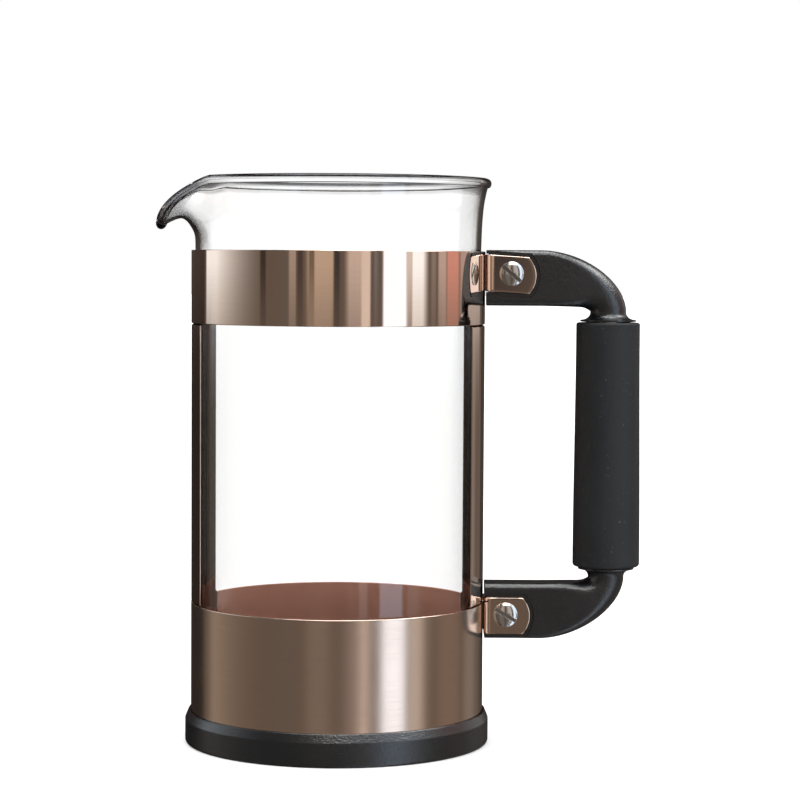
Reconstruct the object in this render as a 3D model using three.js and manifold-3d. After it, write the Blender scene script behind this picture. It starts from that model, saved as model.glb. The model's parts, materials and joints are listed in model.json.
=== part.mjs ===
// A one-litre french press: a flared glass beaker in a copper-plated steel frame, with a black foot and
// a black C-shaped handle. The lid and the plunger stand beside it, as they do while the beaker is filled.
//
// Units are millimetres and +Z is up. The origin is the centre of the foot's underside, on the beaker's
// axis. The handle points along +X and the spout along -X.

import * as THREE from 'three';
import { mergeVertices } from 'three/addons/utils/BufferGeometryUtils.js';
import Module from 'manifold-3d';

const manifold = await Module();
manifold.setup();

// ---------------------------------------------------------------- driving dimensions

const GAP = 0.3; // clearance between pieces that touch or rest on each other
const RING_SIDES = 48; // facets round a large ring
const SMALL_SIDES = 20; // facets round a rod, screw or knob
const REACH = 1; // how far a cutting or joined solid runs past the face it passes through

// frame: two bands joined by two straps
const BAND_R = 51.2; // outer radius of the bands
const BAND_WALL = 0.6;
const BAND_CHAMFER = 0.15;
const LOWER_BAND_TOP = 49.2;
const UPPER_BAND_BOTTOM = 146.4;
const UPPER_BAND_TOP = 171.7;
const STRAP_HALF_ANGLE = THREE.MathUtils.degToRad(24.5);
const STRAP_WALL = 0.5;
const STRAP_FACE_WALL = 0.6; // a strap is a little thicker between the bands
const STRAP_INSET = 0.05; // how far a strap's face lies inside the bands' faces
const STRAP_TAB = 9; // how far each end of a strap reaches behind its band
const STRAP_STEP = 0.8; // height of the step that brings the strap flush with the bands

// foot
const FOOT_R = 53.2;
const FOOT_SIDE = 8; // height of the upright side
const FOOT_HEIGHT = 11.2;
const FOOT_FLOOR = 3;
const FOOT_EDGE = 1; // chamfer under the side
const FOOT_DRAFT = 0.6; // how far the shoulder leans in above the side
const FOOT_BEVEL = 1.4; // height of the bevel at the top
const FOOT_LIP = 0.5; // width of the flat top against the band

// beaker
const GLASS_R = 49.5; // outer radius of the straight wall
const GLASS_WALL = 1.5;
const GLASS_FLOOR = 3;
const GLASS_CORNER = 7; // outer radius of the rounded bottom corner
const FLARE_START = 165; // height where the wall begins to open out
const RIM_Z = 195.2; // height of the middle of the rim bead
const RIM_R = 51.4; // radius of the middle of the rim bead
const RIM_BEAD = 1.75; // half the thickness of the bead
const BEAD_SWEEP = 2.2; // radians the bead's arc runs to each side of the wall's heading
const GLASS_SIDES = 64;
const SPOUT_CROWDING = 0.55; // how strongly the facets crowd together at the spout
const SPOUT_HALF_ANGLE = THREE.MathUtils.degToRad(34);
const SPOUT_R = 62; // radius of the middle of the spout's lip
const SPOUT_LIP_Z = 180.6; // height of the middle of the spout's lip
const SPOUT_HUMP_R = 54.5; // the spout's channel runs over a hump before it droops
const SPOUT_HUMP_Z = 183.4;
const SPOUT_THROAT_Z = 176; // where the wall starts to bend into the spout

// handle
const HANDLE_Z = 104.55; // height of the middle of the handle
const ARM_OUTER = 67.7; // from the middle to an arm's outer edge
const ARM_INNER = 48.4; // from the middle to an arm's inner edge
const ARM_THICKNESS = 14;
const ARM_START = BAND_R + 0.45; // the arms begin close to the band
const ARM_BEVEL = 1.2;
const ARM_BEND_RATIO = 1.25; // length of the outer bend over its height
const ARM_INNER_BEND = 2.5; // radius of the inner bend
const ARM_FULLNESS = 1.8; // 2 bends the arm in a quarter of an ellipse, and less cuts the corner
const GRIP_X = 94.2; // distance of the grip's axis from the beaker's
const GRIP_HALF = 42.7; // half the grip's length
const GRIP_TOP_R = 11.1;
const GRIP_BOTTOM_R = 11.7;
const GRIP_CHAMFER = 0.9;
const GRIP_SIDES = 28;
const NECK_R = 6.3; // each arm narrows to this radius before its collar
const NECK_END = 45.9; // from the middle to where the neck meets the collar
const COLLAR_R = 9.8;
const COLLAR_EDGE = 0.6; // height of the collar's upright edge
const COLLAR_ROOT = 4; // how far the collar's root reaches into the bend
const ROD_R = 4; // radius of the handle's inner tie rod
const ROD_HALF = 52; // half the tie rod's length

// brackets and their fasteners
const BRACKET_PLATE = 1;
const BRACKET_HALF_HEIGHT = 6.4;
const EAR_OUTER_Y = 7.2; // distance from the handle's middle plane to an ear's outer face
const EAR_CHAMFER = 2.8;
const EAR_RECESS = 1.4; // how far the arm's recess runs outside the ear
const UPPER_TILT = THREE.MathUtils.degToRad(3.5);
const UPPER_BRACKET = { z: 163.8, earEnd: 68.8, screwX: 60.1, screwZ: 164.1, tilt: UPPER_TILT };
const LOWER_BRACKET = { z: 44.9, earEnd: 67.5, screwX: 58.9, screwZ: 45.4, tilt: 0 };
const SCREW_HEAD_R = 4.2;
const SCREW_HEAD_HEIGHT = 1.9;
const SCREW_HEAD_SIDE = 0.45; // share of the head's height that is upright
const SCREW_SHANK_R = 2;
const THREAD_CLEARANCE = 0.05; // between a thread and its nut or socket
const SCREW_TAIL = 0.6; // how far a screw stands out of its nut
const SLOT_WIDTH = 1.1;
const SLOT_DEPTH = 0.9;
const NUT_R = 4; // across the corners, as a radius
const NUT_HEIGHT = 3.2;

// lid and plunger, standing beside the press on the filter
const PLUNGER_X = -196;
const FILTER_R = GLASS_R - GLASS_WALL - GAP; // the filter's spring edge wipes the inside of the beaker
const CROSS_PLATE_R = 42;
const PLATE = 0.9;
const WINDOW_COUNT = 6; // round windows in the cross plate
const WINDOW_R = 8.5;
const WINDOW_DISTANCE = 23.5;
const MESH_EDGE = 0.3; // chamfer under the mesh's edge
const SPRING_WIRE_R = 1.2;
const SPRING_HEIGHT = 1.9; // of the wire's middle above the spiral plate's underside
const PLUNGER_ROD_R = 2.4;
const KNOB_Z = 197; // height of the knob's underside
const KNOB_R = 16;
const KNOB_HEIGHT = 24;
const KNOB_FLATNESS = 0.72; // half height of the knob's ball over its radius
const KNOB_NECK_R = 7;
const KNOB_NECK_CHAMFER = 0.5;
const KNOB_NECK_HEIGHT = 2.5;
const KNOB_BALL_START = -0.9; // angle in radians where the ball meets the neck
const KNOB_SOCKET = 12;
const LID_R = 55;
const LID_WALL = 0.9;
const LID_EDGE = 0.8; // the flange ends in a rolled edge of this radius
const LID_DOME = 15; // height of the dome above its flange
const LID_DOME_R = 50.5;
const GUARD_R = FILTER_R - GAP; // outer radius of the skirt that fits inside the beaker
const GUARD_DEPTH = 14;
const GUARD_TOP = 2.2;
const GUARD_WALL = 0.8;
const GUARD_SHOULDER = 2;
const LID_Z = 22.6; // height of the lid's flange when the lid is slid down onto the filter
const BUSH_R = 5;
const BUSH_FOOT = 1; // how far the bush reaches below the lid's flange
const BUSH_HEAD_R = 6.4;
const BUSH_HEAD_HEIGHT = 1.6;

// ---------------------------------------------------------------- materials

const copper = new THREE.MeshStandardMaterial({ color: 0xb87a62, roughness: 0.15, metalness: 1 });
const brushedCopper = new THREE.MeshStandardMaterial({ color: 0xa87460, roughness: 0.35, metalness: 1 });
const steel = new THREE.MeshStandardMaterial({ color: 0xb9b9b6, roughness: 0.25, metalness: 1 });
const glass = new THREE.MeshStandardMaterial({
  color: 0xf2f6f6,
  roughness: 0.02,
  transparent: true,
  opacity: 0.3,
});
const blackPlastic = new THREE.MeshStandardMaterial({ color: 0x1b1c1d, roughness: 0.5, metalness: 0 });
const softBlack = new THREE.MeshStandardMaterial({ color: 0x202122, roughness: 0.7, metalness: 0 });

// ---------------------------------------------------------------- geometry helpers

// Keeps only positions, merges shared corners, drops slivers on the axis and turns the faces outwards.
function closed(geometry) {
  let bare = geometry.clone();
  for (const name of Object.keys(bare.attributes)) {
    if (name !== 'position') bare.deleteAttribute(name);
  }
  bare = mergeVertices(bare, 1e-4);
  const corner = bare.getAttribute('position');
  const a = new THREE.Vector3();
  const b = new THREE.Vector3();
  const c = new THREE.Vector3();
  const faces = [];
  let volume = 0;
  for (let i = 0; i < bare.index.count; i += 3) {
    const [p, q, r] = [bare.index.getX(i), bare.index.getX(i + 1), bare.index.getX(i + 2)];
    if (p === q || q === r || r === p) continue;
    faces.push([p, q, r]);
    volume += a.fromBufferAttribute(corner, p).dot(
      b.fromBufferAttribute(corner, q).cross(c.fromBufferAttribute(corner, r)),
    );
  }
  bare.setIndex(faces.flatMap(([p, q, r]) => (volume < 0 ? [p, r, q] : [p, q, r])));
  return bare;
}

function toManifold(geometry) {
  const bare = closed(geometry);
  return new manifold.Manifold(
    new manifold.Mesh({
      numProp: 3,
      vertProperties: new Float32Array(bare.getAttribute('position').array),
      triVerts: new Uint32Array(bare.index.array),
    }),
  );
}

function fromManifold(solid) {
  const mesh = solid.getMesh();
  const geometry = new THREE.BufferGeometry();
  geometry.setAttribute('position', new THREE.BufferAttribute(new Float32Array(mesh.vertProperties), 3));
  geometry.setIndex(new THREE.BufferAttribute(new Uint32Array(mesh.triVerts), 1));
  return geometry;
}

// Joins the first list of geometries and cuts the second list out of them.
function carve(joined, cut = []) {
  let solid = toManifold(joined[0]);
  for (const geometry of joined.slice(1)) solid = solid.add(toManifold(geometry));
  for (const geometry of cut) solid = solid.subtract(toManifold(geometry));
  return fromManifold(solid);
}

// Turns a profile of [radius, height] points round the Z axis. The profile runs from the axis to the
// axis, or is closed when `ring` is true.
function turned(profile, sides = RING_SIDES, ring = false) {
  const points = profile.map(([r, z]) => new THREE.Vector2(r, z));
  if (ring) points.push(points[0].clone());
  return closed(new THREE.LatheGeometry(points, sides).rotateX(Math.PI / 2));
}

function cylinder(radius, bottom, top, sides = SMALL_SIDES) {
  return turned([[0, bottom], [radius, bottom], [radius, top], [0, top]], sides);
}

// A cylinder lying along Y, centred on (x, z).
function crossCylinder(radius, x, z, from, to, sides = SMALL_SIDES) {
  return cylinder(radius, from, to, sides).rotateX(-Math.PI / 2).translate(x, 0, z);
}

// Points of an arc from one angle to another, both ends included.
function arc(x, z, radius, from, to, steps) {
  return Array.from({ length: steps + 1 }, (_, i) => {
    const angle = from + ((to - from) * i) / steps;
    return [x + radius * Math.cos(angle), z + radius * Math.sin(angle)];
  });
}

// A curved plate: part of a ring about the Z axis, centred on an azimuth.
function arcPlate(inner, outer, halfAngle, bottom, top, azimuth = 0) {
  const shape = new THREE.Shape();
  shape.absarc(0, 0, outer, azimuth - halfAngle, azimuth + halfAngle, false);
  shape.absarc(0, 0, inner, azimuth + halfAngle, azimuth - halfAngle, true);
  const options = { depth: top - bottom, bevelEnabled: false, curveSegments: 8 };
  return new THREE.ExtrudeGeometry(shape, options).translate(0, 0, bottom);
}

// Extrudes an outline drawn in X and Z along Y, evenly about the handle's middle plane.
function slab(outline, thickness, bevel = 0) {
  const shape = new THREE.Shape(outline.map(([x, z]) => new THREE.Vector2(x, z)));
  const geometry = new THREE.ExtrudeGeometry(shape, {
    depth: thickness - 2 * bevel,
    bevelEnabled: bevel > 0,
    bevelThickness: bevel,
    bevelSize: bevel,
    bevelOffset: -bevel,
    bevelSegments: 1,
  });
  return geometry.translate(0, 0, bevel - thickness / 2).rotateX(Math.PI / 2);
}

function tiltedAbout(geometry, x, z, angle) {
  return geometry.translate(-x, 0, -z).rotateY(angle).translate(x, 0, z);
}

const press = new THREE.Group();

function addPart(name, geometry, material, place = [0, 0, 0]) {
  const mesh = new THREE.Mesh(closed(geometry), material);
  mesh.name = name;
  mesh.position.set(...place);
  press.add(mesh);
}

// ---------------------------------------------------------------- beaker

// The middle line of the glass wall, from FLARE_START up to the rim, as five points. The plain wall
// opens out gently. At the spout it bends over a hump and droops to a lip.
const WALL_MIDDLE = GLASS_R - GLASS_WALL / 2;
const PLAIN_WALL = [
  [WALL_MIDDLE, FLARE_START],
  [WALL_MIDDLE + 0.2, 172],
  [WALL_MIDDLE + 0.5, 181],
  [WALL_MIDDLE + 1.2, 188.5],
  [RIM_R, RIM_Z],
];
const SPOUT_WALL = [
  [WALL_MIDDLE, FLARE_START],
  [WALL_MIDDLE + 0.3, 170.5],
  [WALL_MIDDLE + 1, SPOUT_THROAT_Z + 2],
  [SPOUT_HUMP_R, SPOUT_HUMP_Z],
  [SPOUT_R, SPOUT_LIP_Z],
];
const SPOUT_POINT_ROUNDING = 0.08;

// How far the wall has moved outwards and downwards towards the spout, 0 to 1, at an angle from it.
function spoutWeights(angle) {
  const t = Math.min(1, Math.abs(angle) / SPOUT_HALF_ANGLE);
  const rounded = Math.hypot(t, SPOUT_POINT_ROUNDING) - SPOUT_POINT_ROUNDING;
  return { out: (1 - t * t) ** 3, down: t < 1 ? (1 - rounded) ** 2 : 0 };
}

// The closed section of the glass at an angle from the spout: outside up, round the bead, inside down.
function glassSection(angle) {
  const { out, down } = spoutWeights(angle);
  const middle = PLAIN_WALL.map(([r, z], i) => new THREE.Vector2(
    THREE.MathUtils.lerp(r, SPOUT_WALL[i][0], out),
    THREE.MathUtils.lerp(z, SPOUT_WALL[i][1], down),
  ));
  const line = new THREE.SplineCurve(middle);
  const steps = 5;
  const outside = [];
  const inside = [];
  for (let i = 1; i < steps; i += 1) {
    const p = line.getPoint(i / steps);
    const along = line.getTangent(i / steps);
    const side = new THREE.Vector2(along.y, -along.x).multiplyScalar(GLASS_WALL / 2);
    outside.push([p.x + side.x, p.y + side.y]);
    inside.push([p.x - side.x, p.y - side.y]);
  }
  const end = middle.at(-1);
  const heading = Math.atan2(...line.getTangent(1).toArray().reverse());
  const bead = arc(end.x, end.y, RIM_BEAD, heading - BEAD_SWEEP, heading + BEAD_SWEEP, 4);
  const floor = FOOT_FLOOR + GAP;
  const innerCorner = GLASS_CORNER - GLASS_WALL;
  const centre = [GLASS_R - GLASS_CORNER, floor + GLASS_CORNER];
  return [
    [0, floor],
    ...arc(...centre, GLASS_CORNER, -Math.PI / 2, 0, 3),
    [GLASS_R, FLARE_START],
    ...outside,
    ...bead,
    ...inside.reverse(),
    [GLASS_R - GLASS_WALL, FLARE_START],
    ...arc(...centre, innerCorner, 0, -Math.PI / 2, 3).map(([r, z]) => [r, z + GLASS_FLOOR - GLASS_WALL]),
    [0, floor + GLASS_FLOOR],
  ];
}

function makeBeaker() {
  const plain = glassSection(Math.PI);
  const outline = plain.map(([r, z]) => new THREE.Vector2(r, z));
  const lathe = new THREE.LatheGeometry(outline, GLASS_SIDES, Math.PI / 2);
  const position = lathe.getAttribute('position');
  for (let side = 0; side <= GLASS_SIDES; side += 1) {
    // crowd the facets together at the spout, where the shape changes fastest
    const even = (side / GLASS_SIDES) * 2 * Math.PI - Math.PI;
    const azimuth = even - SPOUT_CROWDING * Math.sin(even) * Math.cos(even / 2) ** 2;
    const section = glassSection(azimuth);
    section.forEach(([r, z], i) => {
      position.setXYZ(side * section.length + i, -r * Math.cos(azimuth), -r * Math.sin(azimuth), z);
    });
  }
  addPart('glass_beaker', lathe, glass);
}

// ---------------------------------------------------------------- frame and foot

function makeBand(name, bottom, top, material) {
  const inner = BAND_R - BAND_WALL;
  addPart(name, turned([
    [inner, bottom],
    [BAND_R - BAND_CHAMFER, bottom],
    [BAND_R, bottom + BAND_CHAMFER],
    [BAND_R, top - BAND_CHAMFER],
    [BAND_R - BAND_CHAMFER, top],
    [inner, top],
  ], RING_SIDES, true), material);
}

// A strap is flush with the bands between them, and steps inwards to reach behind each one.
function makeStrap(name, azimuth) {
  const tabOuter = BAND_R - BAND_WALL - GAP;
  const tabInner = tabOuter - STRAP_WALL;
  const faceOuter = BAND_R - STRAP_INSET;
  const low = LOWER_BAND_TOP + GAP;
  const high = UPPER_BAND_BOTTOM - GAP;
  addPart(name, carve([
    arcPlate(faceOuter - STRAP_FACE_WALL, faceOuter, STRAP_HALF_ANGLE, low, high, azimuth),
    arcPlate(tabInner, faceOuter, STRAP_HALF_ANGLE, low, low + STRAP_STEP, azimuth),
    arcPlate(tabInner, faceOuter, STRAP_HALF_ANGLE, high - STRAP_STEP, high, azimuth),
    arcPlate(tabInner, tabOuter, STRAP_HALF_ANGLE, low - STRAP_TAB, low + STRAP_STEP, azimuth),
    arcPlate(tabInner, tabOuter, STRAP_HALF_ANGLE, high - STRAP_STEP, high + STRAP_TAB, azimuth),
  ]), copper);
}

function makeFrame() {
  makeBand('upper_band', UPPER_BAND_BOTTOM, UPPER_BAND_TOP, copper);
  makeBand('lower_band', FOOT_FLOOR + GAP, LOWER_BAND_TOP, brushedCopper);
  makeStrap('handle_side_strap', 0);
  makeStrap('spout_side_strap', Math.PI);
}

function makeFoot() {
  const lip = BAND_R + GAP;
  addPart('foot', turned([
    [0, 0],
    [FOOT_R - FOOT_EDGE, 0],
    [FOOT_R, FOOT_EDGE],
    [FOOT_R, FOOT_SIDE],
    [FOOT_R - FOOT_DRAFT, FOOT_HEIGHT - FOOT_BEVEL],
    [lip + FOOT_LIP, FOOT_HEIGHT],
    [lip, FOOT_HEIGHT],
    [lip, FOOT_FLOOR],
    [0, FOOT_FLOOR],
  ]), blackPlastic);
}

// ---------------------------------------------------------------- handle

// The D-shaped outline of a bracket's ear, grown by a margin.
function earOutline(bracket, start, margin = 0) {
  const half = BRACKET_HALF_HEIGHT + margin;
  const end = bracket.earEnd + margin;
  return [
    [start, bracket.z - half],
    [end - EAR_CHAMFER, bracket.z - half],
    [end, bracket.z - half + EAR_CHAMFER],
    [end, bracket.z + half - EAR_CHAMFER],
    [end - EAR_CHAMFER, bracket.z + half],
    [start, bracket.z + half],
  ];
}

function screwHole(bracket) {
  const { screwX, screwZ } = bracket;
  return crossCylinder(SCREW_SHANK_R + GAP, screwX, screwZ, -ARM_THICKNESS, ARM_THICKNESS);
}

// A U-shaped bracket: a curved base against the band and an ear on each side of the arm.
function makeBracket(name, bracket) {
  const inner = BAND_R + GAP;
  const outer = inner + BRACKET_PLATE;
  const halfAngle = Math.asin(EAR_OUTER_Y / outer);
  const [low, high] = [bracket.z - BRACKET_HALF_HEIGHT, bracket.z + BRACKET_HALF_HEIGHT];
  const base = arcPlate(inner, outer, halfAngle, low, high);
  const ears = [-1, 1].map((side) => tiltedAbout(
    slab(earOutline(bracket, BAND_R - REACH), BRACKET_PLATE),
    bracket.screwX,
    bracket.screwZ,
    bracket.tilt,
  ).translate(0, side * (EAR_OUTER_Y - BRACKET_PLATE / 2), 0));
  const bandSpace = cylinder(inner, bracket.z - ARM_THICKNESS, bracket.z + ARM_THICKNESS, RING_SIDES);
  addPart(name, carve([base, ...ears], [bandSpace, screwHole(bracket)]), copper);
}

// The outline of one arm from the bracket to the neck. `up` is +1 above the grip and -1 below it. The
// outer edge bends in nearly a quarter of an ellipse, longer along the arm than it is high.
function armOutline(up) {
  const neckBottom = NECK_END - REACH;
  const bendHeight = ARM_OUTER - neckBottom;
  const bendLength = bendHeight * ARM_BEND_RATIO;
  const neckOuter = GRIP_X + NECK_R;
  const neckInner = GRIP_X - NECK_R;
  const quarter = arc(0, 0, 1, 0, Math.PI / 2, 6).map(([x, z]) => [
    neckOuter + (x ** (2 / ARM_FULLNESS) - 1) * bendLength,
    neckBottom + z ** (2 / ARM_FULLNESS) * bendHeight,
  ]);
  return [
    [ARM_START, ARM_INNER],
    ...arc(neckInner - ARM_INNER_BEND, ARM_INNER - ARM_INNER_BEND, ARM_INNER_BEND, Math.PI / 2, 0, 3),
    [neckInner, neckBottom],
    ...quarter,
    [ARM_START, ARM_OUTER],
  ].map(([x, z]) => [x, HANDLE_Z + up * z]);
}

// One arm of the handle: a bevelled bend, a round collar that meets the grip, a pocket for the bracket's
// base, a recess on each side for its ears, a cross hole for the screw and a blind socket for the tie rod.
function makeArm(name, bracket, up) {
  const bend = slab(up > 0 ? armOutline(up) : armOutline(up).reverse(), ARM_THICKNESS, ARM_BEVEL);
  const flareBottom = GRIP_HALF + GAP + COLLAR_EDGE;
  const flareHeight = NECK_END + COLLAR_ROOT / 2 - flareBottom;
  const flare = arc(0, 0, 1, Math.PI / 2, Math.PI, 3).map(([x, z]) => [
    COLLAR_R + x * (COLLAR_R - NECK_R),
    flareBottom + (1 - z) * flareHeight,
  ]);
  const collar = turned([
    [0, GRIP_HALF + GAP],
    [COLLAR_R, GRIP_HALF + GAP],
    ...flare,
    [NECK_R - REACH, NECK_END + COLLAR_ROOT],
    [0, NECK_END + COLLAR_ROOT],
  ]);
  const socket = cylinder(ROD_R + GAP, 0, ROD_HALF + GAP);
  for (const round of [collar, socket]) {
    if (up < 0) round.rotateX(Math.PI);
    round.translate(GRIP_X, 0, HANDLE_Z);
  }
  const recessDepth = ARM_THICKNESS / 2 - (EAR_OUTER_Y - BRACKET_PLATE) + GAP;
  const recesses = [-1, 1].map((side) => tiltedAbout(
    slab(earOutline(bracket, ARM_START - REACH, EAR_RECESS), recessDepth * 2),
    bracket.screwX,
    bracket.screwZ,
    bracket.tilt,
  ).translate(0, (side * ARM_THICKNESS) / 2, 0));
  const pocketHalf = BRACKET_HALF_HEIGHT + GAP;
  const pocket = arcPlate(
    BAND_R - REACH,
    BAND_R + BRACKET_PLATE + 2 * GAP,
    STRAP_HALF_ANGLE,
    bracket.z - pocketHalf,
    bracket.z + pocketHalf,
  );
  addPart(name, carve([bend, collar], [socket, pocket, ...recesses, screwHole(bracket)]), blackPlastic);
}

function makeGrip() {
  addPart('handle_grip', turned([
    [ROD_R + GAP, -GRIP_HALF],
    [GRIP_BOTTOM_R - GRIP_CHAMFER, -GRIP_HALF],
    [GRIP_BOTTOM_R, GRIP_CHAMFER - GRIP_HALF],
    [GRIP_TOP_R, GRIP_HALF - GRIP_CHAMFER],
    [GRIP_TOP_R - GRIP_CHAMFER, GRIP_HALF],
    [ROD_R + GAP, GRIP_HALF],
  ], GRIP_SIDES, true), softBlack, [GRIP_X, 0, HANDLE_Z]);
  addPart('handle_tie_rod', cylinder(ROD_R, -ROD_HALF, ROD_HALF), steel, [GRIP_X, 0, HANDLE_Z]);
}

// A slotted screw through both ears, with its head towards -Y and a hexagon nut at the back.
function makeFastener(prefix, bracket, slotAngle) {
  const head = EAR_OUTER_Y + GAP;
  const tail = head + NUT_HEIGHT + SCREW_TAIL;
  const dome = arc(0, 0, 1, 0, Math.PI / 2, 3).map(([x, z]) => [
    SCREW_HEAD_R * x,
    head + SCREW_HEAD_HEIGHT * (SCREW_HEAD_SIDE + (1 - SCREW_HEAD_SIDE) * z),
  ]);
  const body = turned([
    [0, -tail],
    [SCREW_SHANK_R, -tail],
    [SCREW_SHANK_R, head],
    [SCREW_HEAD_R, head],
    ...dome,
  ], SMALL_SIDES);
  const slot = new THREE.BoxGeometry(SCREW_HEAD_R * 3, SLOT_WIDTH, SLOT_DEPTH * 2);
  slot.rotateZ(slotAngle).translate(0, 0, head + SCREW_HEAD_HEIGHT);
  const screw = carve([body], [slot]).rotateX(Math.PI / 2);
  const place = [bracket.screwX, 0, bracket.screwZ];
  addPart(`${prefix}_handle_screw`, screw, steel, place);
  const nut = makeNut(NUT_R, SCREW_SHANK_R, head, head + NUT_HEIGHT).rotateX(-Math.PI / 2);
  addPart(`${prefix}_handle_nut`, nut, steel, place);
}

// A hexagon nut on a thread, standing on the Z axis.
function makeNut(radius, threadR, bottom, top) {
  const bore = cylinder(threadR + THREAD_CLEARANCE, bottom - REACH, top + REACH);
  return carve([cylinder(radius, bottom, top, 6)], [bore]);
}

function makeHandle() {
  makeBracket('upper_handle_bracket', UPPER_BRACKET);
  makeBracket('lower_handle_bracket', LOWER_BRACKET);
  makeArm('upper_handle_arm', UPPER_BRACKET, 1);
  makeArm('lower_handle_arm', LOWER_BRACKET, -1);
  makeGrip();
  makeFastener('upper', UPPER_BRACKET, THREE.MathUtils.degToRad(-40));
  makeFastener('lower', LOWER_BRACKET, THREE.MathUtils.degToRad(-30));
}

// ---------------------------------------------------------------- lid and plunger

const HUB_R = 5;
const MESH_Z = PLATE + GAP; // the mesh lies on the cross plate, and the spiral plate on the mesh
const MESH_THICKNESS = 0.6;
const SPIRAL_Z = MESH_Z + MESH_THICKNESS + GAP;
const SPIRAL_RIM_R = FILTER_R - 2 * SPRING_WIRE_R - GAP;
const SPIRAL_RIM_HEIGHT = 3.6;
const SPIRAL_SLOT_INNER = 19;
const SPIRAL_SLOT_OUTER = 32;
const SPIRAL_SLOT_HALF_ANGLE = 0.8; // in radians
const HUB_TOP = SPIRAL_Z - GAP;
const LOCK_NUT_Z = SPIRAL_Z + PLATE + GAP;
const LOCK_NUT_HEIGHT = 4;

function ringOfHoles(count, distance, radius, bottom, top) {
  return Array.from({ length: count }, (_, i) => {
    const angle = ((i + 0.5) / count) * 2 * Math.PI;
    const hole = cylinder(radius, bottom, top, 12);
    return hole.translate(distance * Math.cos(angle), distance * Math.sin(angle), 0);
  });
}

// The flat plate under the mesh. Its hub is threaded onto the end of the rod.
function makeCrossPlate() {
  const plate = turned([
    [0, 0],
    [CROSS_PLATE_R, 0],
    [CROSS_PLATE_R, PLATE],
    [HUB_R, PLATE],
    [HUB_R, HUB_TOP],
    [0, HUB_TOP],
  ], 36);
  const windows = ringOfHoles(WINDOW_COUNT, WINDOW_DISTANCE, WINDOW_R, -REACH, PLATE + REACH);
  const thread = cylinder(PLUNGER_ROD_R + THREAD_CLEARANCE, PLATE / 2, HUB_TOP + REACH);
  addPart('cross_plate', carve([plate], [...windows, thread]), steel, [PLUNGER_X, 0, 0]);
}

function makeMeshFilter() {
  const bore = HUB_R + GAP;
  addPart('mesh_filter', turned([
    [bore, MESH_Z],
    [FILTER_R - MESH_EDGE, MESH_Z],
    [FILTER_R, MESH_Z + MESH_EDGE],
    [FILTER_R, MESH_Z + MESH_THICKNESS],
    [bore, MESH_Z + MESH_THICKNESS],
  ], 36, true), steel, [PLUNGER_X, 0, 0]);
}

// The plate above the mesh, with an upturned rim and three curved slots.
function makeSpiralPlate() {
  const bore = PLUNGER_ROD_R + GAP;
  const top = SPIRAL_Z + PLATE;
  const plate = turned([
    [bore, SPIRAL_Z],
    [SPIRAL_RIM_R, SPIRAL_Z],
    [SPIRAL_RIM_R, SPIRAL_Z + SPIRAL_RIM_HEIGHT],
    [SPIRAL_RIM_R - PLATE, SPIRAL_Z + SPIRAL_RIM_HEIGHT],
    [SPIRAL_RIM_R - PLATE, top],
    [bore, top],
  ], 36, true);
  const slots = [0, 1, 2].map((i) => arcPlate(
    SPIRAL_SLOT_INNER,
    SPIRAL_SLOT_OUTER,
    SPIRAL_SLOT_HALF_ANGLE,
    SPIRAL_Z - REACH,
    top + REACH,
    (i * 2 * Math.PI) / 3,
  ));
  addPart('spiral_plate', carve([plate], slots), steel, [PLUNGER_X, 0, 0]);
}

function makeEdgeSpring() {
  const middle = FILTER_R - SPRING_WIRE_R;
  const height = SPIRAL_Z + SPRING_HEIGHT;
  const section = arc(middle, height, SPRING_WIRE_R, 0, 2 * Math.PI, 6).slice(0, -1);
  addPart('edge_spring', turned(section, 36, true), steel, [PLUNGER_X, 0, 0]);
}

function makeRodAndKnob() {
  const bottom = PLATE / 2 + GAP;
  addPart('plunger_rod', cylinder(PLUNGER_ROD_R, bottom, KNOB_Z + KNOB_SOCKET), steel, [PLUNGER_X, 0, 0]);
  const nut = makeNut(HUB_R, PLUNGER_ROD_R, LOCK_NUT_Z, LOCK_NUT_Z + LOCK_NUT_HEIGHT);
  addPart('filter_lock_nut', nut, steel, [PLUNGER_X, 0, 0]);
  const ballHalf = KNOB_R * KNOB_FLATNESS;
  const ball = arc(0, 0, 1, KNOB_BALL_START, Math.PI / 2, 7).map(([x, z]) => [
    x * KNOB_R,
    KNOB_HEIGHT + (z - 1) * ballHalf,
  ]);
  const neck = [[KNOB_NECK_R - KNOB_NECK_CHAMFER, 0], [KNOB_NECK_R, KNOB_NECK_HEIGHT]];
  const knob = turned([[0, 0], ...neck, ...ball], 24);
  const socket = cylinder(PLUNGER_ROD_R + THREAD_CLEARANCE, -REACH, KNOB_SOCKET + GAP);
  addPart('plunger_knob', carve([knob], [socket]), blackPlastic, [PLUNGER_X, 0, KNOB_Z]);
}

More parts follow.
